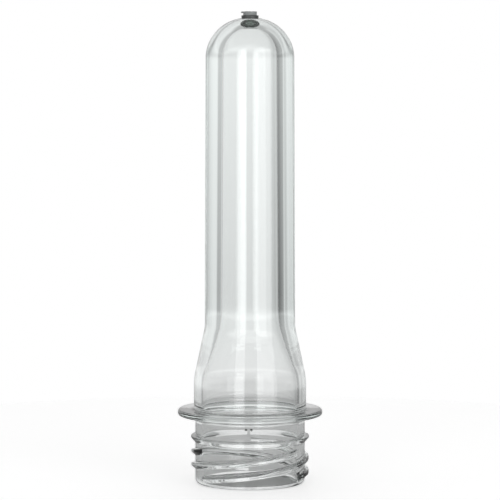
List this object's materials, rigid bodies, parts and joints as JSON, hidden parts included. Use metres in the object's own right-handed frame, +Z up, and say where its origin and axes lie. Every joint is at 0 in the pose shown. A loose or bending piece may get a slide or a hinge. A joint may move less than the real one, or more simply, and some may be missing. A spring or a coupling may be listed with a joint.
{
  "type": "pet bottle preform",
  "caption": "Clear moulded PET preform with a domed tube body, flared shoulder, support ledge and screw neck, blown into a bottle on a packaging line.",
  "frame": {"origin": "centre of the open rim's plane, the plane that the preform stands on", "axes": "+Z up the preform's axis from the rim to the gate at the top of the dome; +X to the right and -Y to the front, with the gate's flash on the -X side and the parting lines at front and rear"},
  "size_m": [0.033, 0.033, 0.1075],
  "materials": {
    "clear_pet": "clear injection-moulded PET, polished tool surfaces, faint grey-green tint"
  },
  "bodies": {
    "root": {"preform": "clear_pet"}
  },
  "joints": []
}
